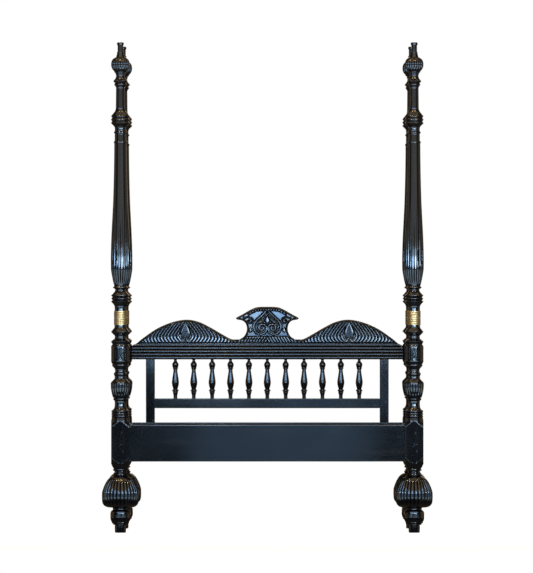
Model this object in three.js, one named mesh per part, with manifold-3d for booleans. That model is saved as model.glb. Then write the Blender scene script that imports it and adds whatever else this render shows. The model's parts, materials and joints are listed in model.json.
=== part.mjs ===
// Dolls' house four poster bed, one twelfth size: four turned posts, each of which unscrews at a
// brass ferrule, a carved headboard on a spindle gallery, plain rails and a lift-out slatted base.
// Millimetres, +Z up. The origin is on the ground under the middle of the bed. The head end is
// at +Y, and the bed is named as seen from its foot: left is -X.
import * as THREE from 'three';
import { mergeVertices } from 'three/addons/utils/BufferGeometryUtils.js';
import Module from 'manifold-3d';

const wasm = await Module();
wasm.setup();

// ---- Driving dimensions ----------------------------------------------------------------
const POST_X = 54.8;             // post centres, either side of the middle
const POST_Y = 80;
const POST_HEIGHT = 183;
const BUN_RADIUS = 6.95;         // the fluted bun is the widest turning of a post
const FACETS = 12;               // sides of a turned post
const GAP = 0.03;                // glue line between two pieces

const BLOCK = 6.9;               // square block that takes the rails
const BLOCK_BOTTOM = 26.5;
const BLOCK_TOP = 40.6;
const BUN_TOP = 23;              // joint between the bun foot and the lower post
const DOWEL_RADIUS = 1.2;        // turned dowels that hold a post's lengths together
const DOWEL_LENGTH = 3;

const FERRULE_BOTTOM = 77.5;
const FERRULE_SPLIT = 80.2;      // the post parts here
const FERRULE_TOP = 82.8;
const FERRULE_RADIUS = 2.5;
const SCREW_RADIUS = 1.3;
const SCREW_LENGTH = 4.5;
const SCREW_PLAY = 0.1;
const SCREW_CHAMFER = 0.3;
const SCREW_ROOM = 0.5;          // empty bore below the screw's tip
const FINIAL_BOTTOM = 171.7;
const FINIAL_DOWEL_RADIUS = 0.6;

const RAIL_THICKNESS = 4;
const RAIL_BOTTOM = 26.6;
const RAIL_TOP = 40.3;
const TENON = { length: 1.9, thickness: 1.6, height: 8 };

const TOP_RAIL_BOTTOM = 64.2;
const TOP_RAIL_TOP = 70.2;
const TOP_RAIL_REEDS = 5;
const TOP_RAIL_TENON_HEIGHT = 3.4;
const DRUM_RADIUS = 3.5;         // plain drum of the post behind the end of the top rail
const PANEL_THICKNESS = 3.4;     // stiles, spindle rail and top rail
const CREST_THICKNESS = 3;
const STILE_INNER = 42.7;
const STILE_OUTER = 46.1;
const SPINDLE_RAIL_BOTTOM = 45.7;
const SPINDLE_RAIL_TOP = 49.4;
const SPINDLES = 11;
const SPINDLE_PITCH = 6.98;
const SPINDLE_FACETS = 8;

const LEDGER = { width: 3, height: 2.6, bottom: 27.2 };
const SLATS = 9;
const SLAT_WIDTH = 9;
const SLAT_THICKNESS = 1.6;
const SLAT_SPAN = 105;
const SLAT_FIELD = 72;           // first to last slat, half the distance
const BATTEN = { x: 30, width: 3, height: 2 };

// ---- Materials -------------------------------------------------------------------------
const finish = (color, roughness, metalness) =>
  new THREE.MeshStandardMaterial({ color, roughness, metalness });
const ebony = finish(0x15171c, 0.3, 0);
const brass = finish(0xb8893f, 0.3, 1);
const baseWood = finish(0x1c1a19, 0.55, 0);

// ---- Solids ----------------------------------------------------------------------------
function toSolid(geometry) {
  const bare = geometry.index ? geometry.toNonIndexed() : geometry.clone();
  for (const name of Object.keys(bare.attributes)) {
    if (name !== 'position') bare.deleteAttribute(name);
  }
  const merged = mergeVertices(bare, 1e-4);
  return new wasm.Manifold(new wasm.Mesh({
    numProp: 3,
    vertProperties: new Float32Array(merged.attributes.position.array),
    triVerts: new Uint32Array(merged.index.array),
  }));
}

function toGeometry(solid) {
  const { vertProperties, triVerts } = solid.getMesh();
  const geometry = new THREE.BufferGeometry();
  geometry.setAttribute('position', new THREE.BufferAttribute(vertProperties, 3));
  geometry.setIndex(new THREE.BufferAttribute(triVerts, 1));
  return geometry;
}

function box(low, high) {
  const size = high.map((value, axis) => value - low[axis]);
  const middle = high.map((value, axis) => (value + low[axis]) / 2);
  return new THREE.BoxGeometry(...size).translate(...middle);
}

// Turns [height, radius] stations about the Z axis, bottom first.
function turned(stations, facets = FACETS) {
  const profile = stations.map(([height, radius]) => new THREE.Vector2(radius, height));
  return new THREE.LatheGeometry(profile, facets).rotateX(Math.PI / 2);
}

// ---- Post pieces, each about its own axis ------------------------------------------------
function bunFoot() {
  return turned([
    [0, 0], [0, 2.1], [3, 2.2],                             // peg
    [4, 3.3], [5.1, 3.75], [8, 3.75], [8.8, 2.9],           // small bun
    [9.5, 4.6], [10.4, 6.2], [12, 6.85], [13.5, BUN_RADIUS], // fluted bun
    [15.4, 6.85], [17.5, 6.1], [19.4, 5.05], [20.9, 3.7], [21.4, 2.5],
    [BUN_TOP, 2.3], [BUN_TOP, DOWEL_RADIUS],
    [BUN_TOP + DOWEL_LENGTH - GAP, DOWEL_RADIUS], [BUN_TOP + DOWEL_LENGTH - GAP, 0],
  ]);
}

function turnedLowerPost() {
  return turned([
    [BUN_TOP + DOWEL_LENGTH, 0], [BUN_TOP + DOWEL_LENGTH, DOWEL_RADIUS + GAP],
    [BUN_TOP + GAP, DOWEL_RADIUS + GAP],                    // socket for the bun's dowel
    [BUN_TOP + GAP, 2.4], [BLOCK_BOTTOM, 3.4],              // bowl under the block
    [BLOCK_TOP, 3.4], [45.8, 3.3], [47, 2.2], [49.4, 2.15], // beads and neck
    [50.3, 2.8], [52, 3.4], [55.8, 3.6], [57.3, 2.3],       // fluted cup
    [61.4, 2.1], [62.6, 3], [64, DRUM_RADIUS], [71.8, DRUM_RADIUS],
    [72.4, 2.2], [73.8, 2.2], [75, 3.5], [76.2, 2.35],      // sharp ring
    [FERRULE_BOTTOM - GAP, 2.35], [FERRULE_BOTTOM - GAP, SCREW_RADIUS + SCREW_PLAY],
    [FERRULE_SPLIT - SCREW_LENGTH - SCREW_ROOM, SCREW_RADIUS + SCREW_PLAY],
    [FERRULE_SPLIT - SCREW_LENGTH - SCREW_ROOM, 0],
  ]);
}

// Mortise in the lower post for a rail that leaves it along X or along Y.
function mortise(alongX, toward, faceDistance, low, high) {
  const reach = [faceDistance - TENON.length - GAP, faceDistance + 1];
  const near = Math.min(toward * reach[0], toward * reach[1]);
  const far = Math.max(toward * reach[0], toward * reach[1]);
  const half = TENON.thickness / 2 + GAP;
  return alongX
    ? box([near, -half, low - GAP], [far, half, high + GAP])
    : box([-half, near, low - GAP], [half, far, high + GAP]);
}

function lowerPost(corner) {
  const half = BLOCK / 2;
  const railMiddle = (RAIL_BOTTOM + RAIL_TOP) / 2;
  const low = railMiddle - TENON.height / 2;
  const high = railMiddle + TENON.height / 2;
  let solid = toSolid(turnedLowerPost())
    .add(toSolid(box([-half, -half, BLOCK_BOTTOM], [half, half, BLOCK_TOP])))
    .subtract(toSolid(mortise(true, -corner.x, half, low, high)))
    .subtract(toSolid(mortise(false, -corner.y, half, low, high)));
  if (corner.y > 0) {
    const middle = (TOP_RAIL_BOTTOM + TOP_RAIL_TOP) / 2;
    const reach = TOP_RAIL_TENON_HEIGHT / 2;
    solid = solid.subtract(
      toSolid(mortise(true, -corner.x, DRUM_RADIUS, middle - reach, middle + reach)));
  }
  return toGeometry(solid);
}

function socketFerrule() {
  const inner = SCREW_RADIUS + SCREW_PLAY;
  return turned([
    [FERRULE_BOTTOM, inner], [FERRULE_BOTTOM, FERRULE_RADIUS],
    [FERRULE_SPLIT - GAP, FERRULE_RADIUS], [FERRULE_SPLIT - GAP, inner],
    [FERRULE_BOTTOM, inner],
  ]);
}

function screwFerrule() {
  const tip = FERRULE_SPLIT - SCREW_LENGTH;
  return turned([
    [tip, 0], [tip, SCREW_RADIUS - SCREW_CHAMFER], [tip + SCREW_CHAMFER, SCREW_RADIUS],
    [FERRULE_SPLIT, SCREW_RADIUS], [FERRULE_SPLIT, FERRULE_RADIUS],
    [FERRULE_TOP, FERRULE_RADIUS], [FERRULE_TOP, 0],
  ]);
}

function upperPost() {
  return turned([
    [FERRULE_TOP + GAP, 0], [FERRULE_TOP + GAP, 2.3], [85, 2.4],
    [86.6, 3.5], [89, 3.45], [90.4, 2.1], [91.4, 2.1],      // three sharp rings
    [92, 3], [92.5, 2.5],                                   // thin ring
    [96.4, 3.25], [103, 3.58], [111.5, 3.42], [119.5, 2.9], // reeded vase
    [130, 2.52], [144.8, 2.33],
    [145.7, 2.45], [151.4, 2.1], [152.3, 3.5], [156.1, 3.5],
    [158.1, 1.8], [165.7, 1.6], [167, 2.3], [169.4, 2.6],   // slim neck and its rings
    [170.2, 1.7], [FINIAL_BOTTOM, 1.9], [FINIAL_BOTTOM, FINIAL_DOWEL_RADIUS],
    [FINIAL_BOTTOM - DOWEL_LENGTH, FINIAL_DOWEL_RADIUS], [FINIAL_BOTTOM - DOWEL_LENGTH, 0],
  ]);
}

function finial() {
  const dowelRadius = FINIAL_DOWEL_RADIUS - GAP;
  const dowelEnd = FINIAL_BOTTOM - DOWEL_LENGTH + GAP;
  return turned([
    [dowelEnd, 0], [dowelEnd, dowelRadius],
    [FINIAL_BOTTOM + GAP, dowelRadius], [FINIAL_BOTTOM + GAP, 2.3],
    [173.7, 3.4], [175.3, 3.5], [176.6, 2.9], [177.3, 1.7], // fluted bulb
    [179, 1.2], [179, 1.05], [182, 1.05], [182, 1.3],       // pin and its cap
    [POST_HEIGHT, 1.3], [POST_HEIGHT, 0],
  ]);
}

// ---- Headboard ---------------------------------------------------------------------------
// Half of the crest's top edge, from the post to the middle: a wing, then the cartouche.
function crestOutline() {
  const point = (x, z) => new THREE.Vector2(x, z);
  const wing = new THREE.SplineCurve([
    point(51.2, 70.4), point(44.2, 74.5), point(37.4, 77.9), point(30.8, 79.3),
    point(24, 77.6), point(17, 73.7), point(12.6, 71.8),
  ]);
  const waist = new THREE.SplineCurve([
    point(10.4, 71.8), point(7.9, 74.4), point(7.8, 76.8), point(9.2, 78.8), point(11.7, 79.6),
  ]);
  const arch = new THREE.SplineCurve([
    point(11.7, 80), point(8, 82), point(4.6, 83.8), point(0, 84.2),
  ]);
  const half = [...wing.getPoints(14), ...waist.getPoints(7), ...arch.getPoints(5)];
  const mirrored = half.slice(0, -1).reverse().map(({ x, y }) => point(-x, y));
  const bottom = TOP_RAIL_TOP + GAP;
  return [point(-51.2, bottom), point(51.2, bottom), ...half, ...mirrored];
}

function crestBoard() {
  const board = new THREE.ExtrudeGeometry(new THREE.Shape(crestOutline()), {
    depth: CREST_THICKNESS, bevelEnabled: false,
  });
  return board.rotateX(Math.PI / 2).translate(0, POST_Y + CREST_THICKNESS / 2, 0);
}

// The top rail is a bundle of round reeds on both faces, with a tenon at each end.
function topRail() {
  const reed = (TOP_RAIL_TOP - TOP_RAIL_BOTTOM) / TOP_RAIL_REEDS;
  const section = new THREE.Shape();
  const core = PANEL_THICKNESS / 2 - reed / 2;
  section.moveTo(core, TOP_RAIL_BOTTOM);
  for (let i = 0; i < TOP_RAIL_REEDS; i += 1) {
    const middle = TOP_RAIL_BOTTOM + (i + 0.5) * reed;
    section.absarc(core, middle, reed / 2, -Math.PI / 2, Math.PI / 2, false);
  }
  for (let i = TOP_RAIL_REEDS - 1; i >= 0; i -= 1) {
    const middle = TOP_RAIL_BOTTOM + (i + 0.5) * reed;
    section.absarc(-core, middle, reed / 2, Math.PI / 2, 1.5 * Math.PI, false);
  }
  const reach = POST_X - DRUM_RADIUS - GAP;
  const rail = new THREE.ExtrudeGeometry(section, {
    depth: 2 * reach, bevelEnabled: false, curveSegments: 4,
  });
  rail.rotateX(Math.PI / 2).rotateZ(Math.PI / 2).translate(-reach, POST_Y, 0);
  const middle = (TOP_RAIL_BOTTOM + TOP_RAIL_TOP) / 2;
  const half = TENON.thickness / 2;
  const tenons = box(
    [-reach - TENON.length, POST_Y - half, middle - TOP_RAIL_TENON_HEIGHT / 2],
    [reach + TENON.length, POST_Y + half, middle + TOP_RAIL_TENON_HEIGHT / 2]);
  return toGeometry(toSolid(rail).add(toSolid(tenons)));
}

function stile(side) {
  const edges = [side * STILE_INNER, side * STILE_OUTER];
  const half = PANEL_THICKNESS / 2;
  return box([Math.min(...edges), POST_Y - half, RAIL_TOP + GAP],
    [Math.max(...edges), POST_Y + half, TOP_RAIL_BOTTOM - GAP]);
}

function spindleRail() {
  const reach = STILE_INNER - GAP;
  const half = PANEL_THICKNESS / 2;
  return box([-reach, POST_Y - half, SPINDLE_RAIL_BOTTOM],
    [reach, POST_Y + half, SPINDLE_RAIL_TOP]);
}

function spindle() {
  const bottom = SPINDLE_RAIL_TOP + GAP;
  const top = TOP_RAIL_BOTTOM - GAP;
  return turned([
    [bottom, 0], [bottom, 0.7], [51.4, 0.85], [52.4, 1.22], [53.2, 0.85],
    [55.4, 1.32], [59.4, 0.75], [60.6, 1], [61.2, 0.7], [61.9, 1.18], [62.5, 0.55],
    [top, 0.55], [top, 0],
  ], SPINDLE_FACETS);
}

// ---- Rails and slatted base ----------------------------------------------------------------
// Rail along X or Y between two post blocks, with a tenon at each end.
function rail(alongX) {
  const reach = (alongX ? POST_X : POST_Y) - BLOCK / 2 - GAP;
  const half = RAIL_THICKNESS / 2;
  const middle = (RAIL_BOTTOM + RAIL_TOP) / 2;
  const low = middle - TENON.height / 2;
  const long = reach + TENON.length;
  const body = box([-reach, -half, RAIL_BOTTOM], [reach, half, RAIL_TOP]);
  const thin = TENON.thickness / 2;
  const tenons = box([-long, -thin, low], [long, thin, low + TENON.height]);
  const solid = toSolid(body).add(toSolid(tenons));
  const geometry = toGeometry(solid);
  return alongX ? geometry : geometry.rotateZ(Math.PI / 2);
}

function ledger(side) {
  const outer = POST_X - RAIL_THICKNESS / 2 - GAP;
  const edges = [side * outer, side * (outer - LEDGER.width)];
  const reach = SLAT_FIELD + SLAT_WIDTH / 4;
  return box([Math.min(...edges), -reach, LEDGER.bottom],
    [Math.max(...edges), reach, LEDGER.bottom + LEDGER.height]);
}

function slat(index) {
  const pitch = (2 * SLAT_FIELD - SLAT_WIDTH) / (SLATS - 1);
  const middle = -SLAT_FIELD + SLAT_WIDTH / 2 + index * pitch;
  const bottom = LEDGER.bottom + LEDGER.height + GAP;
  return box([-SLAT_SPAN / 2, middle - SLAT_WIDTH / 2, bottom],
    [SLAT_SPAN / 2, middle + SLAT_WIDTH / 2, bottom + SLAT_THICKNESS]);
}

function batten(side) {
  const middle = side * BATTEN.x;
  const top = LEDGER.bottom + LEDGER.height;
  return box([middle - BATTEN.width / 2, -SLAT_FIELD, top - BATTEN.height],
    [middle + BATTEN.width / 2, SLAT_FIELD, top]);
}

// ---- Assembly ----------------------------------------------------------------------------
const bed = new THREE.Group();

function piece(parent, name, geometry, material, place = [0, 0, 0]) {
  const mesh = new THREE.Mesh(geometry, material);
  mesh.name = name;
  mesh.position.set(...place);
  parent.add(mesh);
}

const corners = [
  { name: 'head_left', x: -1, y: 1 },
  { name: 'head_right', x: 1, y: 1 },
  { name: 'foot_left', x: -1, y: -1 },
  { name: 'foot_right', x: 1, y: -1 },
];

for (const corner of corners) {
  const post = new THREE.Group();
  post.position.set(corner.x * POST_X, corner.y * POST_Y, 0);
  bed.add(post);
  piece(post, `fluted_bun_${corner.name}`, bunFoot(), ebony);
  piece(post, `lower_post_${corner.name}`, lowerPost(corner), ebony);
  piece(post, `socket_ferrule_${corner.name}`, socketFerrule(), brass);
  piece(post, `screw_ferrule_${corner.name}`, screwFerrule(), brass);
  piece(post, `upper_post_${corner.name}`, upperPost(), ebony);
  piece(post, `finial_${corner.name}`, finial(), ebony);
}

piece(bed, 'crest_board', crestBoard(), ebony);
piece(bed, 'top_rail', topRail(), ebony);
piece(bed, 'stile_left', stile(-1), ebony);
piece(bed, 'stile_right', stile(1), ebony);
piece(bed, 'spindle_rail', spindleRail(), ebony);
for (let i = 0; i < SPINDLES; i += 1) {
  const x = (i - (SPINDLES - 1) / 2) * SPINDLE_PITCH;
  piece(bed, `spindle_${String(i + 1).padStart(2, '0')}`, spindle(), ebony, [x, POST_Y, 0]);
}

piece(bed, 'head_rail', rail(true), ebony, [0, POST_Y, 0]);
piece(bed, 'foot_rail', rail(true), ebony, [0, -POST_Y, 0]);
piece(bed, 'side_rail_left', rail(false), ebony, [-POST_X, 0, 0]);
piece(bed, 'side_rail_right', rail(false), ebony, [POST_X, 0, 0]);
piece(bed, 'ledger_left', ledger(-1), ebony);
piece(bed, 'ledger_right', ledger(1), ebony);

for (let i = 0; i < SLATS; i += 1) {
  piece(bed, `slat_${i + 1}`, slat(i), baseWood);
}
piece(bed, 'batten_left', batten(-1), baseWood);
piece(bed, 'batten_right', batten(1), baseWood);

export default bed;
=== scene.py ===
"""The looks of a dolls' house four poster bed: turned and fluted ebonised posts with brass
ferrules, a carved crest board, a spindle gallery, plain rails and a slatted base.

Shapes are worked out in millimetres above the ground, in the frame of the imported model, and
turned into metres when a mesh is made.
"""
import json
import math

import bpy
import numpy as np
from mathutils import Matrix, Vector


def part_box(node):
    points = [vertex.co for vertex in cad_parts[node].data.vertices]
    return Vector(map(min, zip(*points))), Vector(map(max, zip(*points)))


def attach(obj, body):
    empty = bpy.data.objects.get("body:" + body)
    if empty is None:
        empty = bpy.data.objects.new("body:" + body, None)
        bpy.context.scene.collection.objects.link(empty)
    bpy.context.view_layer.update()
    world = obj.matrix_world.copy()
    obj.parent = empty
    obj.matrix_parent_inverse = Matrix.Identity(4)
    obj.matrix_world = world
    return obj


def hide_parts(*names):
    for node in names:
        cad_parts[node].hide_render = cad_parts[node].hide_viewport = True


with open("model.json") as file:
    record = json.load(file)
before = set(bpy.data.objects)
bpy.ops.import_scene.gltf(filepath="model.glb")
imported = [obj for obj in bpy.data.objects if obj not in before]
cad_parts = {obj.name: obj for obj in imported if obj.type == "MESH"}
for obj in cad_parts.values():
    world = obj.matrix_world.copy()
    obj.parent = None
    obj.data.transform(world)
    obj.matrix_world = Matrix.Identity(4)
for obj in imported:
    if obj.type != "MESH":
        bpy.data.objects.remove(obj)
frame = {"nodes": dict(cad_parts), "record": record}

MM = 0.001
X, Y, Z = 0, 1, 2  # across the bed, along it towards the head, and up
GLUE_LINE = 0.05  # glued pieces reach into each other by this much, so no light shows between
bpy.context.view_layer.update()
CORNERS = ("head_left", "head_right", "foot_left", "foot_right")


def limits(node):
    """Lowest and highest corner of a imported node, in millimetres."""
    low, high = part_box(node)
    return np.array(low) / MM, np.array(high) / MM


# ---- Turned profiles: arrays of (height, radius) in millimetres ------------------------------
STEP = 0.3        # longest step along a turned profile
FINE_STEP = 0.08  # the same where a turning runs out over the flats of a block


def line(*stations):
    """Straight turning through the stations."""
    points = [np.array(stations[:1], float)]
    for (z0, r0), (z1, r1) in zip(stations, stations[1:]):
        count = max(1, math.ceil(math.hypot(z1 - z0, r1 - r0) / STEP))
        share = np.linspace(0, 1, count + 1)[1:, None]
        points.append((1 - share) * (z0, r0) + share * (z1, r1))
    return np.concatenate(points)


def bead(low, high, base, peak):
    """A rounded ring that stands out from base to peak."""
    turn = np.linspace(0, math.pi, 13)
    z = (low + high) / 2 - (high - low) / 2 * np.cos(turn)
    return np.stack([z, base + (peak - base) * np.sin(turn)], 1)


def disc(low, high, base, peak):
    """A ring that stands out from base to peak, with a narrow flat edge."""
    middle, half_edge = (low + high) / 2, 0.1
    return line((low, base), (middle - half_edge, peak), (middle + half_edge, peak), (high, base))


def beads(low, high, number, base, peak):
    """A stack of equal beads."""
    edges = np.linspace(low, high, number + 1)
    return np.concatenate([bead(a, b, base, peak) for a, b in zip(edges, edges[1:])])


def cove(low, high, bottom, top, waist):
    """A hollow between two radii, narrowest at the waist."""
    share = np.linspace(0, 1, 15)
    depth = (bottom + top) / 2 - waist
    chord = bottom + (top - bottom) * share
    radius = chord - depth * np.sqrt(np.clip(1 - (2 * share - 1) ** 2, 0, 1))
    return np.stack([low + (high - low) * share, radius], 1)


def swell(*stations, step=STEP):
    """A smooth turning through the stations that never overshoots them."""
    z, r = np.array(stations, float).T
    slope = np.diff(r) / np.diff(z)
    tangent = np.concatenate([slope[:1], np.zeros(len(z) - 2), slope[-1:]])
    same = slope[:-1] * slope[1:] > 0
    mean = 2 * slope[:-1] * slope[1:] / np.where(same, slope[:-1] + slope[1:], 1)
    tangent[1:-1] = np.where(same, mean, 0)
    points = []
    for i in range(len(z) - 1):
        width = z[i + 1] - z[i]
        count = max(2, math.ceil(math.hypot(width, r[i + 1] - r[i]) / step))
        s = np.linspace(0, 1, count + 1)[(i > 0):]
        radius = (
            r[i] * (2 * s**3 - 3 * s**2 + 1)
            + tangent[i] * width * (s**3 - 2 * s**2 + s)
            + r[i + 1] * (3 * s**2 - 2 * s**3)
            + tangent[i + 1] * width * (s**3 - s**2)
        )
        points.append(np.stack([z[i] + width * s, radius], 1))
    return np.concatenate(points)


# ---- Carving on turned work --------------------------------------------------------------------
def smooth(value, low, high):
    """0 below low, 1 above high, smooth between."""
    share = np.clip((value - low) / (high - low), 0, 1)
    return share * share * (3 - 2 * share)


def across(angle, number):
    """How far an angle is across its reed, from -1 to 1, for a number of reeds round a turning."""
    share = angle * number / (2 * math.pi)
    return 2 * (share - np.floor(share)) - 1


def reed_cut(t):
    """Depth of a reed's face below its crown, from 0 at the crown to 1 in the valley."""
    return 0.5 * t * t + 0.5 * smooth(np.abs(t), 0.62, 1.0)


def reeds(number, depth, low, high, fade=0.6):
    """Rounded reeds with sharp valleys, from height low to high, with rounded tips."""
    def carve(angle, z, radius):
        t = across(angle, number)
        tip = 0.8 * t * t
        here = smooth(z, low + tip, low + tip + fade)
        here = here * (1 - smooth(z, high - tip - fade, high - tip))
        return radius - depth * here * reed_cut(t)
    return carve


def block(half, shoulders):
    """Cuts a turning to a square block wherever it stands further out than the flats."""
    low, high = shoulders
    power = 400  # the higher it is, the crisper the block's corners

    def carve(angle, z, radius):
        square = half * (np.abs(np.cos(angle)) ** power
                         + np.abs(np.sin(angle)) ** power) ** (-1 / power)
        inside = (z > low) & (z < high)
        return np.where(inside, np.minimum(radius, square), radius)
    return carve


def dents(places, side):
    """Small upright dents on one side of a block, given as offset across and height."""
    half_width, half_height, depth = 0.25, 0.7, 0.02

    def carve(angle, z, radius):
        for offset, height in places:
            away = radius * np.sin(angle - side) - offset
            inside = 1 - (away / half_width) ** 2 - ((z - height) / half_height) ** 2
            facing = np.cos(angle - side) > 0.7
            radius = radius - np.where(facing, depth * np.clip(inside, 0, 1), 0)
        return radius
    return carve


# ---- Meshes ------------------------------------------------------------------------------------
def mesh_from(name, points, faces, material, sharp=38):
    """A smooth-shaded mesh from points in millimetres, creased where it turns sharply."""
    mesh = bpy.data.meshes.new(name)
    mesh.from_pydata((np.asarray(points) * MM).tolist(), [], faces)
    mesh.polygons.foreach_set("use_smooth", [True] * len(mesh.polygons))
    mesh.set_sharp_from_angle(angle=math.radians(sharp))
    mesh.materials.append(material)
    mesh.update()
    return mesh


def ring_faces(rings, sides, closed=False):
    """Quads between successive rings of vertices, and from the last to the first if closed."""
    faces = []
    for ring in range(rings if closed else rings - 1):
        a, b = ring * sides, (ring + 1) % rings * sides
        for i in range(sides):
            j = (i + 1) % sides
            faces.append((a + i, a + j, b + j, b + i))
    return faces


def turned(name, parts, sides, material, carvings=(), tube=False):
    """Turns a profile about the Z axis, with the carvings cut into it. The profile of a tube
    runs right round its wall, and any other turning is closed at both ends."""
    profile = np.concatenate(parts)
    keep = np.ones(len(profile), bool)
    keep[1:] = np.linalg.norm(np.diff(profile, axis=0), axis=1) > 1e-4
    z, r = profile[keep].T
    angle = np.arange(sides) * 2 * math.pi / sides
    radius = np.repeat(r[:, None], sides, 1)
    for carve in carvings:
        radius = carve(angle[None, :], z[:, None], radius)
    height = np.repeat(z[:, None], sides, 1)
    points = np.stack([radius * np.cos(angle), radius * np.sin(angle), height], 2)
    points = points.reshape(-1, 3)
    if tube:
        return mesh_from(name, points, ring_faces(len(z), sides, closed=True), material)
    bottom, top = len(points), len(points) + 1
    points = np.concatenate([points, [(0, 0, z[0]), (0, 0, z[-1])]])
    faces = ring_faces(len(z), sides)
    last = (len(z) - 1) * sides
    for i in range(sides):
        j = (i + 1) % sides
        faces.append((bottom, j, i))
        faces.append((top, last + i, last + j))
    return mesh_from(name, points, faces, material)


def show(name, mesh, node, place=(0, 0, 0)):
    """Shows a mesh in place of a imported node, on that node's body."""
    piece = bpy.data.objects.new(name, mesh)
    bpy.context.scene.collection.objects.link(piece)
    piece.location = Vector(place) * MM
    record = frame["record"]
    body = next(b for b, nodes in record["behaviour"]["bodies"].items() if node in nodes)
    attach(piece, body)
    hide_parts(node)


# ---- Materials ---------------------------------------------------------------------------------
class Nodes:
    """Short hand for building one material's nodes."""

    def __init__(self, name):
        self.material = bpy.data.materials.new(name)
        self.material.use_nodes = True
        self.tree = self.material.node_tree
        self.shader = self.tree.nodes["Principled BSDF"]

    def add(self, kind, **settings):
        node = self.tree.nodes.new(kind)
        for key, value in settings.items():
            setattr(node, key, value)
        return node

    def link(self, source, target):
        self.tree.links.new(source, target)

    def coordinates(self, stretch=(1, 1, 1)):
        """Object coordinates in metres, squeezed along each axis by stretch."""
        where = self.add("ShaderNodeTexCoord")
        mapping = self.add("ShaderNodeMapping")
        mapping.inputs["Scale"].default_value = stretch
        self.link(where.outputs["Object"], mapping.inputs["Vector"])
        return mapping.outputs["Vector"]

    def noise(self, vector, scale, detail=4, roughness=0.55):
        node = self.add("ShaderNodeTexNoise")
        node.inputs["Scale"].default_value = scale
        node.inputs["Detail"].default_value = detail
        node.inputs["Roughness"].default_value = roughness
        self.link(vector, node.inputs["Vector"])
        return node.outputs["Fac"]

    def ramp(self, value, low, high, bottom=0.0, top=1.0):
        node = self.add("ShaderNodeMapRange", interpolation_type="SMOOTHSTEP")
        node.inputs["From Min"].default_value = low
        node.inputs["From Max"].default_value = high
        node.inputs["To Min"].default_value = bottom
        node.inputs["To Max"].default_value = top
        self.link(value, node.inputs["Value"])
        return node.outputs["Result"]

    def math(self, operation, first, second):
        node = self.add("ShaderNodeMath", operation=operation)
        for value, socket in ((first, node.inputs[0]), (second, node.inputs[1])):
            if isinstance(value, (int, float)):
                socket.default_value = value
            else:
                self.link(value, socket)
        return node.outputs["Value"]

    def mix(self, share, first, second):
        """Mixes two colours, each a colour or another node's output."""
        node = self.add("ShaderNodeMix", data_type="RGBA")
        self.link(share, node.inputs[0])
        for value, socket in ((first, node.inputs[6]), (second, node.inputs[7])):
            if isinstance(value, tuple):
                socket.default_value = (*value, 1)
            else:
                self.link(value, socket)
        return node.outputs[2]

    def bump(self, height, distance, strength=1.0, normal=None):
        node = self.add("ShaderNodeBump")
        node.inputs["Strength"].default_value = strength
        node.inputs["Distance"].default_value = distance
        self.link(height, node.inputs["Height"])
        if normal is not None:
            self.link(normal, node.inputs["Normal"])
        return node.outputs["Normal"]

    def edges(self, low, high):
        """How sharply a surface stands out, from 0 on flats and in hollows to 1 on arrises."""
        geometry = self.add("ShaderNodeNewGeometry")
        return self.ramp(geometry.outputs["Pointiness"], low, high)


def ebony(name, grain_axis, gloss, lustre=0.5):
    """Ebonised hardwood under an old, hand-rubbed lacquer, with its grain along one axis. Gloss
    is the lacquer's roughness where it is best kept, and lustre is the strength of its shine."""
    n = Nodes(name)
    stretch = [1.0, 1.0, 1.0]
    stretch[grain_axis] = 0.06
    along = n.coordinates(stretch)
    even = n.coordinates()
    clouds = n.noise(even, 70, detail=1)
    streaks = n.noise(along, 420, detail=4)
    patches = n.noise(even, 260, detail=2)
    specks = n.noise(even, 1500, detail=2, roughness=0.3)

    black = n.mix(n.ramp(clouds, 0.35, 0.68), (0.0018, 0.002, 0.0026), (0.0034, 0.0038, 0.0048))
    brown = n.mix(n.ramp(streaks, 0.52, 0.78), black, (0.008, 0.0055, 0.004))
    # Brown patches on the arrises: partly lacquer rubbed through to the wood, partly a painted warm
    # sheen where the edges of the rings catch the light
    edges = n.edges(0.54, 0.68)
    wear_and_sheen_edges = n.math("MULTIPLY", edges, n.ramp(patches, 0.48, 0.72))
    rubbed_and_painted_sheen = n.mix(wear_and_sheen_edges, brown, (0.05, 0.032, 0.015))
    # Gold flecks on those arrises: partly chips of bare wood, partly painted gold glints
    chip_and_painted_glint = n.math("MULTIPLY", n.ramp(specks, 0.66, 0.7), wear_and_sheen_edges)
    n.link(n.mix(chip_and_painted_glint, rubbed_and_painted_sheen, (0.42, 0.29, 0.13)), n.shader.inputs["Base Color"])

    dull = n.ramp(clouds, 0.3, 0.75, gloss, gloss + 0.02)
    dull = n.math("ADD", dull, n.ramp(streaks, 0.4, 0.8, 0, 0.02))
    dull = n.math("ADD", dull, n.math("MULTIPLY", wear_and_sheen_edges, 0.05))
    n.link(dull, n.shader.inputs["Roughness"])
    uneven = n.bump(clouds, 0.00006)
    dents = n.bump(n.ramp(specks, 0.76, 0.82), -0.00001, 1.0, uneven)
    n.link(dents, n.shader.inputs["Normal"])
    n.shader.inputs["Specular IOR Level"].default_value = lustre
    n.shader.inputs["Coat Weight"].default_value = 0.6 * lustre
    n.shader.inputs["Coat Roughness"].default_value = gloss
    n.shader.inputs["IOR"].default_value = 1.5
    return n.material


def brass(name):
    """Turned brass, bright on its ribs and tarnished between them."""
    n = Nodes(name)
    even = n.coordinates()
    tarnish = n.noise(even, 500, detail=4)
    warm = n.mix(n.ramp(tarnish, 0.35, 0.7), (0.57, 0.44, 0.235), (0.52, 0.35, 0.145))
    hollow = n.edges(0.5, 0.46)
    n.link(n.mix(hollow, warm, (0.2, 0.1, 0.03)), n.shader.inputs["Base Color"])
    n.link(n.ramp(tarnish, 0.3, 0.75, 0.36, 0.5), n.shader.inputs["Roughness"])
    n.shader.inputs["Metallic"].default_value = 1.0
    return n.material


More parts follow.
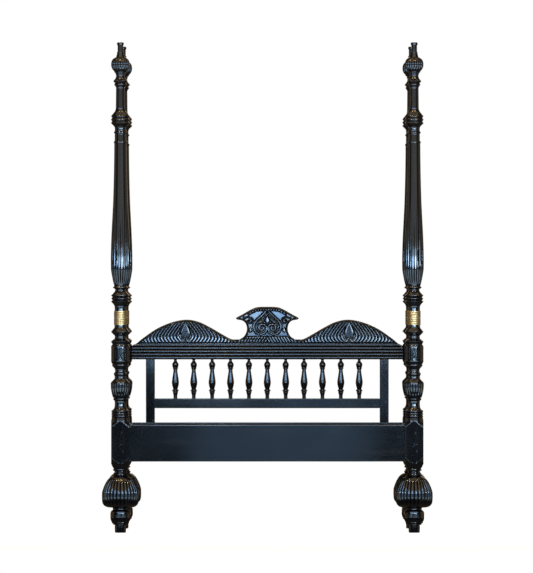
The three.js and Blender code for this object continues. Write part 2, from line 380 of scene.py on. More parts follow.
def stained_wood(name, grain_axis):
    """Thinly black-stained softwood for the slats, its brown grain showing through."""
    n = Nodes(name)
    stretch = [1.0, 1.0, 1.0]
    stretch[grain_axis] = 0.04
    along = n.coordinates(stretch)
    grain = n.noise(along, 900, detail=6, roughness=0.65)
    clouds = n.noise(n.coordinates(), 90, detail=3)
    stain = n.mix(n.ramp(grain, 0.38, 0.66), (0.016, 0.014, 0.013), (0.05, 0.035, 0.024))
    n.link(n.mix(n.ramp(clouds, 0.4, 0.8), stain, (0.02, 0.018, 0.018)),
           n.shader.inputs["Base Color"])
    n.link(n.ramp(grain, 0.3, 0.7, 0.5, 0.68), n.shader.inputs["Roughness"])
    n.link(n.bump(grain, 0.00006, 0.7), n.shader.inputs["Normal"])
    return n.material


EBONY_UPRIGHT = ebony("ebony_upright", Z, 0.07)
EBONY_ACROSS = ebony("ebony_across", X, 0.09)
EBONY_LENGTHWAYS = ebony("ebony_lengthways", Y, 0.13)
EBONY_REEDED = ebony("ebony_reeded", X, 0.12, 0.36)
BRASS = brass("polished_brass")
SLAT_WOOD = stained_wood("stained_slat", X)
BATTEN_WOOD = stained_wood("stained_batten", Y)


# ---- Posts ---------------------------------------------------------------------------------------
FERRULE_LOW = 77.5
SPLIT = 80.2          # height at which an upper post parts from its lower post
FERRULE_HIGH = 82.8
FERRULE_PLAIN = 2.3   # radius of a ferrule between its ribs
FERRULE_RIB = 2.42    # and on them
FERRULE_RIBS = 4      # on each half
SCREW = 1.3           # radius of the screw under the upper ferrule
SCREW_PITCH = 1.5
SCREW_TIP = SPLIT - 4.5
BORE = SCREW + 0.1    # radius of the hole that the screw runs in
BUN_REEDS, CUP_REEDS, DRUM_REEDS, VASE_REEDS, FINIAL_REEDS = 28, 18, 12, 20, 20
BLOCK_HALF = 3.45     # half the width of the square block on each lower post
FRONT = -math.pi / 2  # the angle at which a turning faces the front


def bun_foot_mesh():
    parts = [
        line((0, 1.5), (0, 1.85), (0.2, 2.08)), swell((0.2, 2.08), (1.5, 2.14), (2.95, 2.15)),
        bead(3.0, 3.5, 2.5, 2.85), bead(3.5, 4.1, 2.95, 3.35),
        swell((4.1, 3.3), (4.7, 3.62), (5.6, 3.77), (7.1, 3.77), (7.9, 3.6), (8.4, 3.2)),
        cove(8.4, 9.4, 3.1, 3.1, 2.82),
        swell((9.4, 3.3), (9.5, 4.6), (9.85, 5.6), (10.4, 6.3), (11.1, 6.72), (12.2, 6.9),
              (13.6, 6.95), (14.6, 6.94), (15.2, 6.88), (15.8, 6.72), (16.6, 6.46),
              (17.5, 6.1), (18.5, 5.62), (19.4, 5.08), (20.2, 4.42), (20.9, 3.6)),
        cove(20.9, 21.25, 3.6, 2.8, 2.85), bead(21.25, 21.95, 2.5, 2.9),
        bead(21.95, 22.5, 2.3, 2.6), line((22.5, 2.25), (23.0, 2.22)),
    ]
    return turned("bun_foot", parts, 10 * BUN_REEDS, EBONY_UPRIGHT,
                  [reeds(BUN_REEDS, 0.5, 9.5, 20.4)])


def lower_post_mesh():
    parts = [
        line((23.0, 1.5), (23.0, 2.2), (23.1, 2.25)), bead(23.1, 23.9, 2.4, 2.78),
        swell((23.9, 2.5), (24.6, 2.95), (25.6, 3.4), (26.4, 3.75), (27.2, 4.3), (28.2, 5.0),
              step=FINE_STEP),
        line((28.2, 5.0), (39.4, 5.0)),
        swell((39.4, 5.0), (40.0, 4.4), (40.7, 3.85), (41.6, 3.5), (42.9, 3.3), step=FINE_STEP),
        beads(43.0, 45.8, 3, 2.98, 3.38),
        swell((45.8, 3.0), (46.3, 2.5), (47.0, 2.2), (48.2, 2.12), (49.3, 2.2)),
        bead(49.4, 50.3, 2.25, 2.7),
        line((50.35, 2.35), (50.4, 2.72)),
        swell((50.4, 2.75), (51.1, 2.98), (51.9, 3.22), (52.8, 3.42), (54.2, 3.6), (55.5, 3.65),
              (56.1, 3.5), (56.7, 3.0), (57.3, 2.4)),
        cove(57.3, 58.7, 2.4, 2.3, 2.15), bead(58.7, 59.8, 2.2, 2.48),
        cove(59.8, 61.4, 2.2, 2.3, 2.02),
        line((61.4, 2.3), (62.1, 2.9)), bead(62.1, 62.9, 2.9, 3.12),
        swell((62.9, 2.95), (63.4, 3.3), (64.2, 3.5), (66.5, 3.5), (69.1, 3.5), (69.8, 3.38),
              (70.2, 3.1)),
        line((70.2, 3.0), (70.5, 3.05), (71.3, 3.5), (71.4, 3.5), (72.2, 2.6)),
        cove(72.2, 73.8, 2.5, 2.4, 2.1),
        line((73.8, 2.45), (74.95, 3.5), (75.0, 3.5), (76.2, 2.55)),
        swell((76.2, 2.45), (76.7, 2.24), (FERRULE_LOW, 2.2)),
        line((FERRULE_LOW, 2.2), (FERRULE_LOW, BORE), (SCREW_TIP - 0.5, BORE)),
    ]
    carvings = [block(BLOCK_HALF, (26.0, 43.0)), reeds(CUP_REEDS, 0.34, 50.7, 56.4),
                reeds(DRUM_REEDS, 0.1, 63.6, 69.6),
                dents([(0.5, 37.3), (0.1, 33.0), (1.0, 30.4)], FRONT)]
    return turned("lower_post", parts, 12 * CUP_REEDS, EBONY_UPRIGHT, carvings)


def socket_ferrule_mesh():
    low, high = FERRULE_LOW, SPLIT - 0.03
    parts = [line((low, BORE), (low, FERRULE_PLAIN)),
             beads(low, high, FERRULE_RIBS, FERRULE_PLAIN, FERRULE_RIB),
             line((high, FERRULE_PLAIN), (high, BORE), (low + 0.3, BORE))]
    return turned("socket_ferrule", parts, 96, BRASS, tube=True)


def thread(angle, z, radius):
    """The turns of the screw, where a turning is as thin as the screw."""
    groove = 0.5 + 0.5 * np.cos(2 * math.pi * z / SCREW_PITCH - angle)
    cut = 0.22 * groove * smooth(z, SCREW_TIP + 0.2, SCREW_TIP + 0.6)
    cut = cut * (1 - smooth(z, SPLIT - 0.5, SPLIT))
    return np.where((radius < SCREW + 0.01) & (z < SPLIT), radius - cut, radius)


def screw_ferrule_mesh():
    shank = np.arange(SCREW_TIP + 0.4, SPLIT, 0.1)
    parts = [line((SCREW_TIP, SCREW - 0.3), (SCREW_TIP + 0.3, SCREW)),
             np.stack([shank, np.full(len(shank), SCREW)], 1),
             line((SPLIT, SCREW), (SPLIT, FERRULE_PLAIN)),
             beads(SPLIT, FERRULE_HIGH, FERRULE_RIBS, FERRULE_PLAIN, FERRULE_RIB),
             line((FERRULE_HIGH, FERRULE_PLAIN), (FERRULE_HIGH, 1.6))]
    return turned("screw_ferrule", parts, 96, BRASS, [thread])


def vase_reeds(angle, z, radius):
    """Flat reeds parted by narrow grooves that grow faint up the vase, and rounded towards
    their pointed feet."""
    t = across(angle, VASE_REEDS)
    depth = 0.17 * smooth(z, 92.3, 94.0) * (1 - 0.9 * smooth(z, 104, 126))
    pointed = 0.36 * smooth(z, 92.3, 95.0) * (1 - smooth(z, 95.0, 101.0))
    groove = 0.14 * t * t + 0.86 * smooth(np.abs(t), 0.62, 1.0)
    return radius - depth * groove - pointed * t * t


def upper_post_mesh():
    parts = [
        line((FERRULE_HIGH, 1.5), (FERRULE_HIGH, 2.15)),
        swell((FERRULE_HIGH, 2.15), (84.0, 2.16), (84.8, 2.3)),
        swell((84.8, 2.3), (85.4, 2.7), (85.9, 3.2), (86.25, 3.48)),
        line((86.25, 3.48), (86.3, 3.48), (86.8, 2.95), (87.35, 3.42), (87.4, 3.42),
             (87.95, 2.95), (88.5, 3.48), (88.55, 3.48), (89.2, 2.85)),
        swell((89.2, 2.85), (89.7, 2.4), (90.3, 2.0), (90.9, 1.97)),
        line((90.9, 1.97), (91.45, 2.85), (91.5, 2.85), (92.1, 2.3)),
        line((92.1, 2.3), (93.0, 2.57), (94.1, 2.85), (96.0, 3.23), (97.3, 3.44), (98.3, 3.58)),
        swell((98.3, 3.58), (99.5, 3.6), (102.5, 3.59), (105.5, 3.54), (108.5, 3.46),
              (111.5, 3.34), (114, 3.22), (116.5, 3.08), (119.5, 2.93), (123, 2.75),
              (126, 2.65), (130, 2.53), (134.5, 2.43), (139, 2.36), (145.2, 2.3)),
        bead(145.3, 146.1, 2.3, 2.5), line((146.1, 2.15), (148.9, 2.13)),
        bead(149.0, 149.7, 2.2, 2.45), cove(149.7, 151.6, 2.25, 2.35, 2.1),
        line((151.6, 2.35), (152.3, 3.0)),
        disc(152.3, 153.5, 3.1, 3.5), disc(153.5, 154.8, 3.1, 3.5), disc(154.8, 156.0, 3.1, 3.45),
        swell((156.0, 3.05), (156.6, 2.6), (157.3, 2.05), (158.3, 1.74), (161, 1.7),
              (164, 1.67), (165.7, 1.66)),
        cove(165.7, 166.7, 1.65, 2.0, 1.72), disc(166.7, 167.8, 2.0, 2.32),
        disc(167.8, 169.2, 2.1, 2.65), cove(169.2, 170.9, 2.2, 1.75, 1.68),
        line((170.9, 1.75), (171.7, 1.9), (171.7, 1.0)),
    ]
    return turned("upper_post", parts, 12 * VASE_REEDS, EBONY_UPRIGHT, [vase_reeds])


def finial_mesh():
    parts = [
        line((171.7, 1.0), (171.7, 2.0)), bead(171.73, 172.2, 2.1, 2.35),
        swell((172.2, 2.35), (172.7, 2.8), (173.4, 3.25), (174.2, 3.48), (174.9, 3.5),
              (175.8, 3.36), (176.6, 2.95), (177.2, 2.2), (177.5, 1.6)),
        swell((177.5, 1.6), (178.2, 1.42), (178.9, 1.2)), bead(178.9, 179.4, 1.15, 1.36),
        swell((179.4, 1.07), (180.5, 1.06), (181.9, 1.06)),
        line((181.9, 1.1), (182.0, 1.24)), bead(182.0, 182.8, 1.22, 1.3),
        line((182.8, 1.2), (183.0, 1.05), (183.0, 0.5)),
    ]
    return turned("finial", parts, 10 * FINIAL_REEDS, EBONY_UPRIGHT,
                  [reeds(FINIAL_REEDS, 0.3, 172.2, 177.2, fade=0.5)])


def make_posts():
    meshes = {
        "fluted_bun": bun_foot_mesh(), "lower_post": lower_post_mesh(),
        "socket_ferrule": socket_ferrule_mesh(), "screw_ferrule": screw_ferrule_mesh(),
        "upper_post": upper_post_mesh(), "finial": finial_mesh(),
    }
    for corner in CORNERS:
        low, high = limits(f"socket_ferrule_{corner}")
        x, y = ((low + high) / 2)[:2]
        for kind, mesh in meshes.items():
            show(f"turned_{kind}_{corner}", mesh, f"{kind}_{corner}", (x, y, 0))


# ---- Bars ----------------------------------------------------------------------------------------
CROSS = ([Y, Z], [Z, X], [X, Y])  # the two axes across a bar, for a bar along each axis


def rounded_rectangle(width, height, ease):
    """Points round a rectangle with eased corners, counter-clockwise."""
    points = []
    for corner, (sx, sy) in enumerate(((1, -1), (1, 1), (-1, 1), (-1, -1))):
        cx, cy = sx * (width / 2 - ease), sy * (height / 2 - ease)
        for step in range(5):
            turn = math.pi / 2 * (corner - 1 + step / 4)
            points.append((cx + ease * math.cos(turn), cy + ease * math.sin(turn)))
    return np.array(points)


def refined(section, longest=0.9, near=0.06):
    """The same closed section with its long sides divided, and closely so near the corners to
    keep the flats flat."""
    points = []
    for a, b in zip(section, np.roll(section, -1, 0)):
        length = np.linalg.norm(b - a)
        points.append(a)
        if length > 4 * near:
            count = max(1, math.ceil(length / longest))
            shares = [near / length, *(i / count for i in range(1, count)), 1 - near / length]
            points.extend(a + (b - a) * share for share in shares)
    return np.array(points)


def swept(name, section, low, high, axis, material, ease=0.15, uneven=0.012):
    """Runs a section, centred on the bar, along an axis from low to high."""
    length = high[axis] - low[axis]
    others = CROSS[axis]
    middle = (low + high) / 2
    inner = np.linspace(ease, length - ease, max(3, round(length / 2)))
    inner = np.insert(inner, [1, -1], [ease + 0.06, length - ease - 0.06])
    arc = ease * np.array([0, 0.08, 0.3, 0.62])
    along = np.concatenate([arc, inner, (length - arc)[::-1]])
    inset = ease - np.sqrt(np.clip(ease**2 - np.clip(ease - np.minimum(along, length - along),
                                                     0, None) ** 2, 0, None))
    rng = np.random.default_rng(len(name) * 7 + round(length) + round(low.sum()))
    phases = rng.uniform(0, 2 * math.pi, 6)
    reach = np.abs(section).max(0)
    points = []
    for s, pull in zip(along, inset):
        ring = section * (reach - pull) / reach
        wave = sum(math.sin(s / span + phase) for span, phase in zip((5, 11, 19), phases))
        cross = sum(math.sin(s / span + phase) for span, phase in zip((7, 13, 23), phases[3:]))
        place = np.zeros((len(ring), 3))
        place[:, axis] = low[axis] + s
        place[:, others[0]] = middle[others[0]] + ring[:, 0] * (1 + uneven * wave / 6)
        place[:, others[1]] = middle[others[1]] + ring[:, 1] * (1 + uneven * cross / 12)
        points.append(place)
    sides = len(section)
    faces = ring_faces(len(along), sides)
    faces.append(tuple(range(sides))[::-1])
    faces.append(tuple(range((len(along) - 1) * sides, len(along) * sides)))
    return mesh_from(name, np.concatenate(points), faces, material, sharp=50)


def bar(node, axis, material, ease=0.22, reach=None, glued=False):
    """An eased bar that fills a node's box. Its ends are at plus and minus reach if it has
    tenons, and meet their neighbours if they are glued."""
    low, high = limits(node)
    if reach is not None:
        low[axis], high[axis] = -reach, reach
    if glued:
        low[axis], high[axis] = low[axis] - GLUE_LINE, high[axis] + GLUE_LINE
    size = (high - low)[CROSS[axis]]
    section = refined(rounded_rectangle(size[0], size[1], ease))
    name = f"planed_{node}"
    show(name, swept(name, section, low, high, axis, material), node)


def reeded_section(number, pitch, depth):
    """Front and back faces of a rail, each a bundle of rounded reeds with sharp valleys."""
    height, crown, valley = number * pitch, 0.28, 0.2
    points = []
    for side, start in ((1, -height / 2), (-1, height / 2)):
        for reed in range(number):
            for step in range(13):
                t = -1 + step / 6
                bulge = crown * math.sqrt(1 - 0.96 * t * t)
                bulge -= valley * max(0, abs(t) - 0.75) / 0.25
                points.append((side * (depth / 2 - crown + bulge),
                               start + side * pitch * (reed + 0.5 + t / 2)))
    return np.array(points)


def make_rails():
    inner_x, inner_y = limits("lower_post_head_right")[0][:2] + 0.1
    for node in ("head_rail", "foot_rail"):
        bar(node, X, EBONY_ACROSS, reach=inner_x)
    for side in ("left", "right"):
        bar(f"side_rail_{side}", Y, EBONY_LENGTHWAYS, reach=inner_y)
        bar(f"ledger_{side}", Y, EBONY_LENGTHWAYS)
        bar(f"stile_{side}", Z, EBONY_UPRIGHT, glued=True)
        bar(f"batten_{side}", Y, BATTEN_WOOD, ease=0.3)
    bar("spindle_rail", X, EBONY_ACROSS, glued=True)
    for index in range(1, 10):
        bar(f"slat_{index}", X, SLAT_WOOD, ease=0.35)


def end_drop(x):
    """How far the top rail's top and the crest board slope down towards the posts."""
    return 0.45 * np.maximum(0, np.abs(x) - 49.5)


RAIL_REEDS = 5


def make_top_rail():
    low, high = limits("top_rail")
    reach = limits("crest_board")[1][X] + 0.25
    low[X], high[X] = -reach, reach
    high[Z] += GLUE_LINE
    size = high - low
    section = reeded_section(RAIL_REEDS, size[Z] / RAIL_REEDS, size[Y])
    mesh = swept("reeded_top_rail", section, low, high, X, EBONY_REEDED, ease=0.05, uneven=0)
    sloping = 1.1  # depth of the top reed, the only one that slopes
    for vertex in mesh.vertices:
        share = max(0, (vertex.co.z / MM - high[Z] + sloping) / sloping)
        vertex.co.z -= share * end_drop(vertex.co.x / MM) * MM
    show("reeded_top_rail", mesh, "top_rail")


# ---- Spindles ------------------------------------------------------------------------------------
def spindle_mesh():
    parts = [
        line((49.38, 0.3), (49.38, 0.72)), swell((49.38, 0.72), (50.6, 0.72), (51.3, 0.92)),
        bead(51.4, 51.9, 0.85, 1.0), bead(52.0, 52.8, 0.9, 1.24),
        swell((52.85, 0.82), (53.3, 0.92), (54.3, 1.2), (55.5, 1.35), (56.7, 1.22),
              (58.0, 1.02), (59.2, 0.84), (60.0, 0.76), (60.6, 0.8)),
        bead(60.6, 61.2, 0.82, 1.02),
        swell((61.2, 0.98), (61.7, 1.16), (62.3, 1.22), (62.8, 1.08), (63.3, 0.7), (63.7, 0.52),
              (64.25, 0.62)),
        line((64.25, 0.62), (64.25, 0.3)),
    ]
    return turned("spindle", parts, 64, EBONY_UPRIGHT)


def make_spindles():
    mesh = spindle_mesh()
    nodes = sorted(n for n in frame["nodes"] if n.startswith("spindle_") and n[-1].isdigit())
    for node in nodes:
        low, high = limits(node)
        x, y = ((low + high) / 2)[:2]
        show(f"turned_{node}", mesh, node, (x, y, 0))


# ---- Carved crest board --------------------------------------------------------------------------
RELIEF = 0.6          # depth of the carving
WING_AXIS = 31.1      # each wing's teardrop, either side of the middle
WING_PITCH = 1.25     # distance between the gouges on a wing
BAND_PITCH = 1.1      # and on the band under the cartouche
BORDER_PITCH = 0.98   # and along the cartouche's upper edge
FOOT_BORDER = (70.35, 70.8)  # heights between which the carving rises from the board's foot
NECK_HEIGHT = 71.8    # where the cartouche parts from the wings
BAND_TOP = 73.15
LEDGE_HEIGHT = 73.42  # middle of the ledge between the band and the cartouche's scrolls
EAR_HEIGHT = 79.8     # height of the cartouche's ears
EAR_REACH = 11.75     # and how far from the middle their tips are
GROUND = 0.45         # height of the cartouche's smooth ground, as a share of the relief
FAR = 9               # stands for the distance to an edge where the board has none


def smooth_path(points):
    """A smooth curve through a few points."""
    p = np.array(points, float)
    p = np.concatenate([[2 * p[0] - p[1]], p, [2 * p[-1] - p[-2]]])
    out = []
    for a, b, c, d in zip(p, p[1:], p[2:], p[3:]):
        s = np.linspace(0, 1, 14, endpoint=False)[:, None]
        out.append(0.5 * (2 * b + (c - a) * s + (2 * a - 5 * b + 4 * c - d) * s**2
                          + (3 * b - a - 3 * c + d) * s**3))
    return np.concatenate([*out, [p[-2]]])


# Outlines of the board's right half, as distance from the middle and height.
WING_TOP = smooth_path([(51.2, 69.62), (49.5, 70.42), (47.2, 72.3), (41.9, 75.9), (36.3, 78.3),
                        (30.8, 79.3), (26.1, 78.5), (21.6, 76.35), (17.05, 73.7),
                        (13.7, 71.95), (11.2, NECK_HEIGHT), (0, NECK_HEIGHT)])
CARTOUCHE_SIDE = smooth_path([(10.6, NECK_HEIGHT), (8.9, 72.9), (7.95, 74.6), (7.75, 76.2),
                              (8.3, 78.0), (9.6, 79.0), (11.2, 79.3), (EAR_REACH, 79.6),
                              (11.7, 80.1), (9.3, 81.4), (6.9, 82.8), (4.5, 83.9),
                              (2.4, 84.2)])


def scroll(inset, last_turn):
    """Half a spade: a shoulder that runs down from the point and curls into a spiral."""
    eye, point = (2.1, 76.1), (0.1, 82.8 - 1.5 * inset)
    turn = np.linspace(-0.7, last_turn, 160)
    radius = 3.0 * np.exp(-0.163 * turn) - inset
    spiral = np.stack([eye[0] + radius * np.cos(turn), eye[1] - radius * np.sin(turn)], 1)
    share = np.linspace(0, 1, 30, endpoint=False)[:, None]
    return np.concatenate([(1 - share) * point + share * spiral[0], spiral])


# Carved lines of one half of the cartouche, as distance from the middle and height.
SCROLL = scroll(0, 10.6)
SPADE_LINE = scroll(0.95, 1.0)
INNER_LEAF = smooth_path([(1.0, 79.6), (1.7, 79.0), (2.4, 78.5), (2.9, 78.2)])
EAR_SCROLL = smooth_path([(9.0, 79.7), (8.1, 80.1), (7.0, 80.25), (6.0, 79.8), (5.5, 79.0),
                          (5.9, 78.2), (6.7, 78.0), (7.3, 78.5), (6.9, 79.15)])


def distance_to(path, x, z):
    """Distance of each place from the nearest point of a path."""
    near = np.full(x.shape, np.inf)
    for px, pz in path:
        near = np.minimum(near, (x - px) ** 2 + (z - pz) ** 2)
    return np.sqrt(near)


def teardrop(x, z, low, high, half):
    """A domed drop, round at the bottom and pointed at the top, and its share of the way out."""
    v = np.clip((z - low) / (high - low), 0, 1)
    reach = 2.757 * half * np.sqrt(v) * (1 - v) ** 1.15
    share = np.abs(x) / np.maximum(reach, 1e-3)
    return np.sqrt(np.clip(1 - share**2, 0, 1)), share


def ridges(phase, flat=0.38):
    """Ridges with almost flat tops, parted by wide cuts."""
    t = np.abs(2 * (phase - np.floor(phase)) - 1)
    return 1 - 0.1 * t**2 - 0.85 * smooth(t, flat, 0.98)


def tongues(phase):
    """Broad, gently rounded tongues parted by narrow cuts."""
    t = np.abs(2 * (phase - np.floor(phase)) - 1)
    return 1 - 0.06 * t * t - 0.85 * smooth(t, 0.64, 1.0)


def wing_carving(x, z):
    """Nested gouges that bend at the knee, on both sides of a teardrop in a leafy cup."""
    low, high, half = 72.0, 78.6, 1.9  # foot, point and half width of the teardrop
    side = np.abs(x) - WING_AXIS
    out = np.abs(side)
    above = z - (73.4 - 0.1 * out)     # height above the gouges' knee
    lean, bend = np.where(above > 0, 0.92, 0.98), np.where(above > 0, 1.6, 1.2)
    shift = lean * (np.hypot(above, bend) - bend)
    phase = (out + shift - 2.2) / WING_PITCH
    upper = smooth(above, -0.8, 0.8)
    belly = 0.95 - 0.04 * np.clip(z - 70.9, 0, 3)
    height = belly * tongues(phase) * (1 - upper) + 0.9 * ridges(phase) * upper
    height = height * smooth(out + shift, 2.0, 2.3)
    _, share = teardrop(side, z, low, high, half)
    rise = np.clip((z - low) / (high - low), 0, 1)
    drop = (0.6 + 0.15 * rise) * np.sqrt(np.clip(1 - share**6, 0, 1))
    inside = share < 1
    height = np.where(inside, drop, height * smooth(share, 1.0, 1.22))
    cup = (out < 1.7) & (z < low + 0.2)
    petals = 0.3 + 0.4 * np.abs(np.sin(3 * np.arctan2(side, low + 0.7 - z)))
    return np.where(cup & ~inside, petals, height)


def cartouche_carving(x, z, gap):
    """Two scrolls that meet in a spade, on a smooth ground under a border of short gouges. The
    gap is the distance from the cartouche's edge."""
    u = np.abs(x)
    order = np.argsort(SPADE_LINE[:, 1])
    edge = np.interp(z, SPADE_LINE[order, 1], SPADE_LINE[order, 0])
    foot, point = 73.9, 81.4  # of the hollow inside the spade
    inside = (z > foot) & (z < point) & (u < edge + 0.5)
    ground = np.where(inside, 0.03 + 0.12 * (z - foot), GROUND * (1 - smooth(u, 8.4, 9.6)))
    carved = np.zeros(x.shape)
    for path, half, top in ((SCROLL, 0.5, 1.0), (SPADE_LINE, 0.34, 0.9), (INNER_LEAF, 0.4, 0.9),
                            (EAR_SCROLL, 0.2, 0.95)):
        away = distance_to(path, u, z)
        ground = ground * smooth(away, half, half + 0.24)
        carved = np.maximum(carved, top * (1 - smooth(away, 0.32 * half, half + 0.06)))
    for middle, low, high, half, top in ((0, 77.9, 80.9, 0.9, 0.97), (6.4, 74.4, 76.6, 0.55, 0.9)):
        drop, share = teardrop(u - middle, z, low, high, half)
        ground = ground * smooth(share, 1.0, 1.35)
        carved = np.maximum(carved, top * drop**0.4)
    height = np.maximum(ground, carved)
    border = (gap > 0.5) & (gap < 1.75) & (z > 80.2) & (u < 7.4)
    ends = 1 - smooth(np.abs(gap - 1.12), 0.3, 0.6)
    strokes = 0.9 * ridges((u + 0.6 * gap) / BORDER_PITCH + 0.31)
    height = np.where(border, strokes * ends, height)
    ledge = 0.85 * (1 - smooth(np.abs(z - LEDGE_HEIGHT), 0.1, 0.26))
    return np.maximum(height, np.where(u < 8.6, ledge, 0))


def base_band(x, z):
    """Gouges under the cartouche that lean away from the middle. On the left half they are cut
    into beads as tall as the gouges are wide."""
    phase = (np.abs(x) - 0.62 * (73.2 - z)) / BAND_PITCH
    ends = smooth(z, *FOOT_BORDER) * (1 - smooth(z, BAND_TOP - 0.3, BAND_TOP))
    bead_phase = (z - FOOT_BORDER[1]) / BAND_PITCH % 1
    beading = 1 - np.where(x < 0, 0.35, 0) * smooth(np.abs(bead_phase - 0.5), 0.3, 0.5)
    belly = 0.95 - 0.04 * (z - 70.4)
    return belly * ridges(phase, 0.48) * beading * ends


def crest_relief(x, z, outline):
    """Height of the carving above its deepest cuts, from 0 to 1."""
    u = np.abs(x)
    gap = distance_to(outline, u, z)
    wing = wing_carving(x, z) * smooth(z, *FOOT_BORDER)
    middle = np.where(z < BAND_TOP, base_band(x, z), cartouche_carving(x, z, gap))
    share = smooth(u, 11.0, 11.8)
    height = wing * share + middle * (1 - share)
    edge = np.where((u > EAR_REACH) | (z > NECK_HEIGHT), gap, FAR)
    rim = 1.5 * edge * (1 - smooth(edge, 0.5, 0.75))
    return np.maximum(height * smooth(edge, 0.6, 0.85), rim)


def grid_solid(x, z, y_front, y_back):
    """Closes a grid of front points into a board with straight sides and a flat back."""
    m, n = x.shape
    front = np.stack([x, y_front, z], 2).reshape(-1, 3)
    index = np.arange(m * n).reshape(m, n)
    faces = np.stack([index[:-1, :-1], index[1:, :-1], index[1:, 1:], index[:-1, 1:]], 2)
    faces = [tuple(f) for f in faces.reshape(-1, 4).tolist()]
    rim = np.concatenate([index[:, 0], index[-1, 1:], index[-2::-1, -1], index[0, -2:0:-1]])
    back = front[rim].copy()
    back[:, 1] = y_back
    start, count = m * n, len(rim)
    for i in range(count):
        j = (i + 1) % count
        faces.append((int(rim[j]), int(rim[i]), start + i, start + j))
    faces.append(tuple(range(start, start + count))[::-1])
    return np.concatenate([front, back]), faces


def carved_face(x, z, outline, front):
    """Depth of the carved face for a grid of places on the board."""
    ease = 0.2
    gap = distance_to(outline, np.abs(x), z)
    free = (np.abs(x) > EAR_REACH) | (z > NECK_HEIGHT + 0.01)  # not where the two grids meet
    inward = np.clip(ease - np.where(free, gap, FAR), 0, None)
    round_over = ease - np.sqrt(np.clip(ease**2 - inward**2, 0, None))
    return front + (1 - crest_relief(x, z, outline)) * RELIEF + round_over


def wing_grid(low, high):
    """Places all over the board below its wings' tops, in columns from foot to top."""
    columns = np.linspace(low[X], high[X], 861)
    order = np.argsort(WING_TOP[:, 0])
    top = np.interp(np.abs(columns), WING_TOP[order, 0], WING_TOP[order, 1])
    share = np.linspace(0, 1, 74)
    foot = low[Z] - end_drop(columns)
    top = np.maximum(top, foot + 0.1)
    z = foot[:, None] + (top - foot)[:, None] * share
    return np.repeat(columns[:, None], len(share), 1), z


def cartouche_grid():
    """Places all over the cartouche, in rows from edge to edge at levels up to its top."""
    levels = np.concatenate([np.linspace(NECK_HEIGHT, 79.2, 74),
                             np.linspace(79.2, CARTOUCHE_SIDE[-1, 1], 56)[1:]])
    reach, height = CARTOUCHE_SIDE.T
    lower, upper = height <= EAR_HEIGHT, height >= EAR_HEIGHT
    half = np.where(levels < EAR_HEIGHT, np.interp(levels, height[lower], reach[lower]),
                    np.interp(levels, height[upper], reach[upper]))
    share = np.linspace(-1, 1, 181)
    return share[:, None] * half[None, :], np.repeat(levels[None, :], len(share), 0)


def make_crest():
    low, high = limits("crest_board")
    crown = np.stack([np.linspace(2.3, 0, 24), np.full(24, CARTOUCHE_SIDE[-1, 1])], 1)
    wings = WING_TOP[WING_TOP[:, 0] > CARTOUCHE_SIDE[0, 0]]
    outline = np.concatenate([wings, CARTOUCHE_SIDE, crown])
    points, faces = np.empty((0, 3)), []
    for x, z in (wing_grid(low, high), cartouche_grid()):
        more, more_faces = grid_solid(x, z, carved_face(x, z, outline, low[Y]), high[Y])
        faces += [tuple(i + len(points) for i in face) for face in more_faces]
        points = np.concatenate([points, more])
    show("carved_crest_board", mesh_from("carved_crest", points, faces, EBONY_ACROSS, sharp=60),
         "crest_board")


# ---- Stage ---------------------------------------------------------------------------------------
FRONT_WALL = -0.46    # where the panes in front of the bed stand, in metres
BLUE, COOL, PALE = (0.3, 0.57, 1.0), (0.36, 0.63, 1.0), (0.6, 0.82, 1.0)


def softbox(name, place, target, width, height, radiance, colour):
    """An area light at a place in metres, turned towards a target, unseen by the camera."""
    light = bpy.data.lights.new(name, "AREA")
    light.shape = "RECTANGLE"
    light.size, light.size_y = width, height
    light.energy = radiance * math.pi * width * height
    light.color = colour
    lamp = bpy.data.objects.new(name, light)
    lamp.location = place
    lamp.rotation_mode = "QUATERNION"
    lamp.rotation_quaternion = (Vector(place) - Vector(target)).to_track_quat("Z", "Y")
    lamp.visible_camera = False
    bpy.context.scene.collection.objects.link(lamp)


def make_world():
    """White to the camera and a dim brown room, darkest at eye level, to everything else."""
    world = bpy.data.worlds.new("studio")
    bpy.context.scene.world = world
    world.use_nodes = True
    nodes, links = world.node_tree.nodes, world.node_tree.links
    room = nodes["Background"]
    direction = nodes.new("ShaderNodeTexCoord")
    height = nodes.new("ShaderNodeSeparateXYZ")
    steep = nodes.new("ShaderNodeMath")
    steep.operation = "ABSOLUTE"
    glow = nodes.new("ShaderNodeMapRange")
    glow.inputs["To Min"].default_value = 0.02
    glow.inputs["To Max"].default_value = 0.12
    links.new(direction.outputs["Generated"], height.inputs[0])
    links.new(height.outputs["Z"], steep.inputs[0])
    links.new(steep.outputs[0], glow.inputs["Value"])
    links.new(glow.outputs[0], room.inputs["Strength"])
    room.inputs["Color"].default_value = (1.0, 0.8, 0.56, 1)
    backdrop = nodes.new("ShaderNodeBackground")
    backdrop.inputs["Color"].default_value = (1, 1, 1, 1)
    backdrop.inputs["Strength"].default_value = 1.0
    path = nodes.new("ShaderNodeLightPath")
    mix = nodes.new("ShaderNodeMixShader")
    links.new(path.outputs["Is Camera Ray"], mix.inputs["Fac"])
    links.new(room.outputs[0], mix.inputs[1])
    links.new(backdrop.outputs[0], mix.inputs[2])
    links.new(mix.outputs[0], nodes["World Output"].inputs["Surface"])


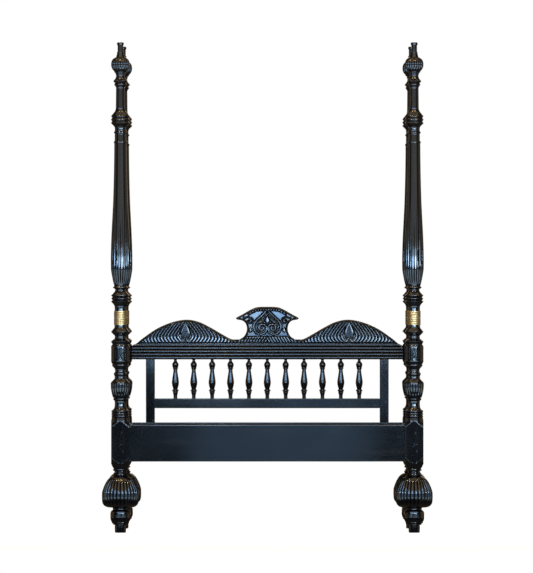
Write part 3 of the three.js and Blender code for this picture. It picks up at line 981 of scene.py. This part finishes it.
def make_floor():
    n = Nodes("white_floor")
    speckle = n.noise(n.coordinates(), 30, detail=2)
    n.link(n.mix(n.ramp(speckle, 0.2, 0.8), (0.58, 0.58, 0.58), (0.6, 0.6, 0.6)),
           n.shader.inputs["Base Color"])
    n.shader.inputs["Roughness"].default_value = 0.8
    n.shader.inputs["Emission Color"].default_value = (1, 1, 1, 1)
    n.shader.inputs["Emission Strength"].default_value = 0.9
    reach = 700  # well past both sides of the picture
    corners = [(-reach, -reach, 0), (reach, -reach, 0), (reach, reach, 0), (-reach, reach, 0)]
    mesh = mesh_from("floor", corners, [(0, 1, 2, 3)], n.material)
    floor = bpy.data.objects.new("floor", mesh)
    floor.visible_glossy = False
    floor.visible_diffuse = False
    bpy.context.scene.collection.objects.link(floor)


def make_camera():
    """A very long lens level with the middle of the posts, square on to the foot of the bed."""
    data = bpy.data.cameras.new("camera")
    data.lens = 1500
    data.sensor_width = 36
    frame_height = 0.2157  # metres seen from the bottom edge of the picture to its top
    distance = frame_height * data.lens / data.sensor_width
    data.clip_start, data.clip_end = 1, 20
    camera = bpy.data.objects.new("camera", data)
    camera.location = (-0.0003, -distance, 0.0919)
    camera.rotation_euler = (math.pi / 2, 0, 0)
    bpy.context.scene.collection.objects.link(camera)
    bpy.context.scene.camera = camera


def front_pane(name, x, z, width, height, radiance, colour):
    """A pane on the wall in front of the bed, square on to it."""
    softbox(f"front_{name}", (x, FRONT_WALL, z), (x, 0, z), width, height, radiance, colour)


def make_window():
    """The cool panes in front, which the lacquer mirrors."""
    height, depth = 0.094, 0.038
    for name, x, width, radiance, colour in (
            ("left", -0.159, 0.206, 15, COOL),
            ("right", 0.158, 0.204, 30, PALE),
            ("cool", -0.0425, 0.023, 22, BLUE),
            ("pale", -0.022, 0.018, 40, PALE),
            ("middle", 0, 0.026, 18, BLUE),
            ("wing", 0.0345, 0.043, 10, COOL)):
        front_pane(name, x, height, width, depth, radiance, colour)


def make_wall():
    """The other panes on that wall, above and below the window and mostly dimmer."""
    for name, x, z, width, height, radiance, colour in (
            ("fade_left", -0.13, 0.119, 0.26, 0.012, 4, COOL),
            ("fade_right", 0.13, 0.119, 0.26, 0.012, 7, PALE),
            ("dado", 0, 0.0665, 0.8, 0.017, 0.6, COOL),
            ("upper", 0, 0.23, 0.8, 0.05, 10, COOL),
            ("valance", 0, 0.43, 0.9, 0.34, 1.3, (1.0, 0.78, 0.5)),
            ("low_left", -0.19, 0.025, 0.18, 0.04, 3.5, COOL),
            ("low_right", 0.19, 0.025, 0.18, 0.04, 3.5, COOL),
            ("low_middle", 0.005, 0.031, 0.07, 0.024, 1.0, COOL),
            ("low_step", 0.03, 0.0475, 0.05, 0.006, 1.2, COOL),
            ("wall", 0, 0.164, 0.9, 0.078, 0.7, (1.0, 0.97, 0.92))):
        front_pane(name, x, z, width, height, radiance, colour)


def make_room():
    """Dim warm sides, a cool glow from the ground in front, a warm ceiling with two small lamps,
    and a dim warm wall behind."""
    for name, x in (("left", -0.52), ("right", 0.52)):
        softbox(f"side_{name}", (x, 0.05, 0.1), (0, 0, 0.09), 0.5, 0.3, 0.36, (1.0, 0.78, 0.52))
    softbox("ground_glow", (0, -0.33, 0.001), (0, -0.33, 1), 0.6, 0.24, 3.2, PALE)
    softbox("ceiling", (0, -0.13, 0.5), (0, -0.08, 0.05), 0.6, 0.46, 0.8, (1.0, 0.7, 0.36))
    for name, x, y in (("left", -0.12, -0.22), ("right", 0.16, -0.3)):
        softbox(f"lamp_{name}", (x, y, 0.45), (0, 0, 0.08), 0.03, 0.03, 140, (1.0, 0.66, 0.3))
    softbox("back_room", (0.1, 0.6, 0.3), (0, 0, 0.06), 0.6, 0.4, 0.6, (1.0, 0.8, 0.6))
    softbox("back_low", (0, 0.6, 0.05), (0, 0, 0.05), 0.9, 0.1, 0.3, (1.0, 0.66, 0.34))


make_camera()
make_world()
make_floor()
make_window()
make_wall()
make_room()
make_posts()
make_rails()
make_top_rail()
make_spindles()
make_crest()
bpy.context.scene.view_settings.view_transform = "Standard"
